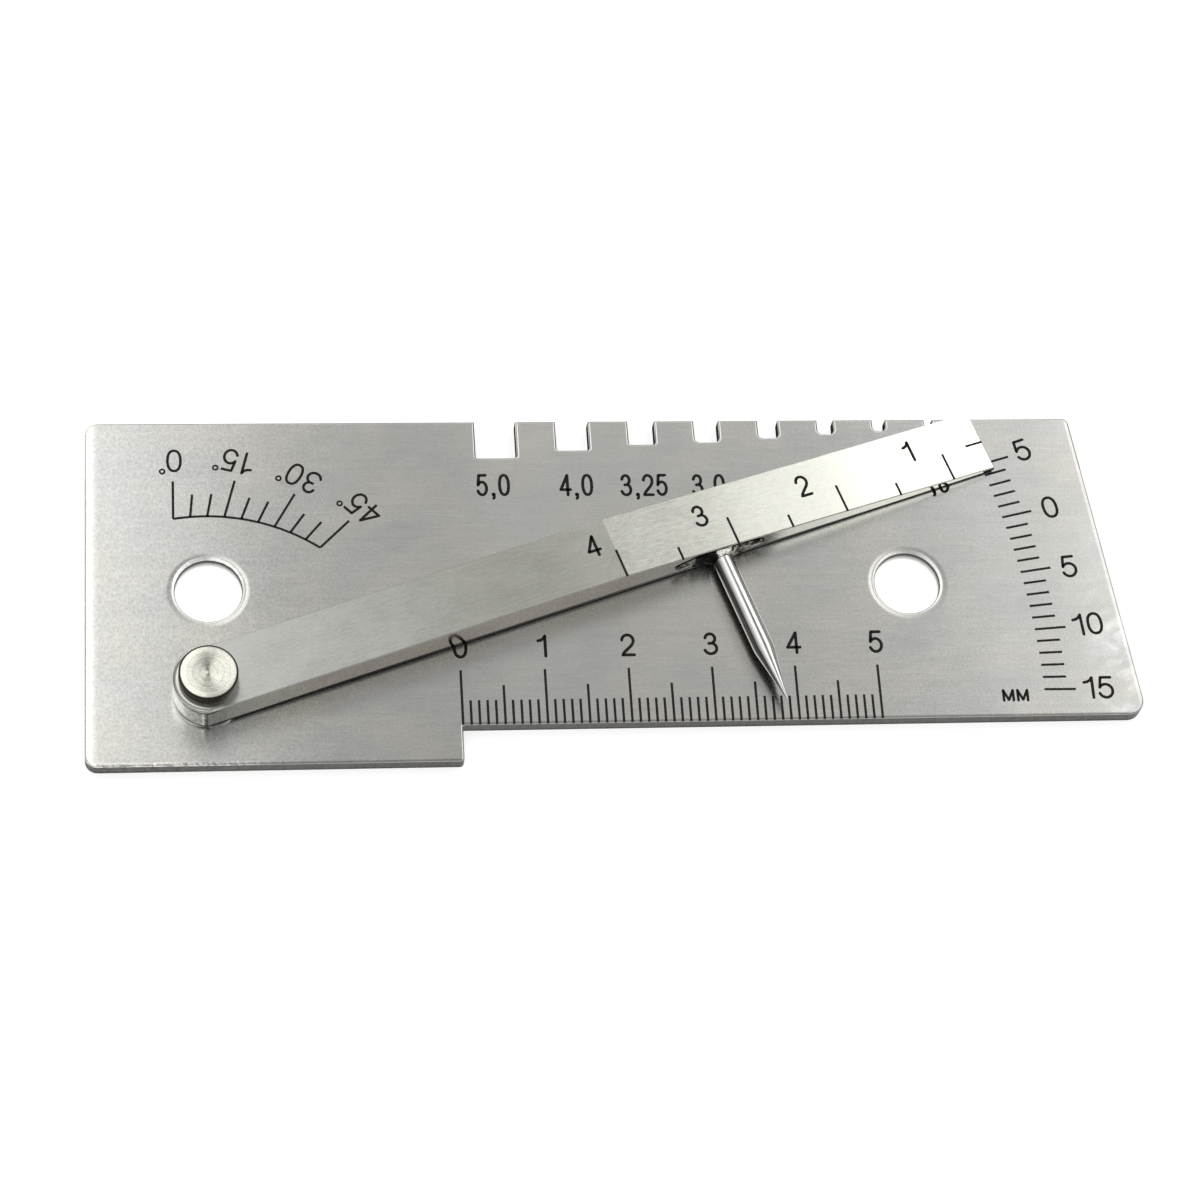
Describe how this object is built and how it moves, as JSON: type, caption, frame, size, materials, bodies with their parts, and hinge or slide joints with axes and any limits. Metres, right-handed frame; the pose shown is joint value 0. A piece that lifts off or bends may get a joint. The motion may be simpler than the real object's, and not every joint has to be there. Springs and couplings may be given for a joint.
{
  "type": "weld gauge",
  "caption": "Flat steel weld gauge with a pivoting taper arm, a depth pin, wire notches, a ruler, a protractor and an arc depth scale.",
  "frame": {"origin": "centre of the plate's back face, on which the gauge lies", "axes": "+X along the plate from the foot end to the slanted end, +Y towards the notched edge, +Z out of the marked face"},
  "size_m": [0.126, 0.0453, 0.0082],
  "materials": {
    "plate_steel": "satin stainless steel with a fine grain along the plate",
    "arm_steel": "ground stainless steel, brighter on the slope",
    "pin_steel": "polished steel",
    "rivet_metal": "nickel plated, with fine turning rings on the head",
    "washer_steel": "plain bright steel",
    "braze_metal": "rough darkened filler metal",
    "mark_fill": "black of the laser marked lines and numbers"
  },
  "bodies": {
    "plate": {"base_plate": "plate_steel", "pivot_rivet": "rivet_metal", "pivot_washer": "washer_steel"},
    "arm": {"gauge_arm": "arm_steel", "depth_pin": "pin_steel", "braze_fillet": "braze_metal"}
  },
  "joints": [
    {"name": "arm_pivot", "type": "hinge", "parent": "plate", "child": "arm", "pos_m": [-0.0487, -0.0135, 0], "axis": [0, 0, 1], "continuous": true}
  ]
}
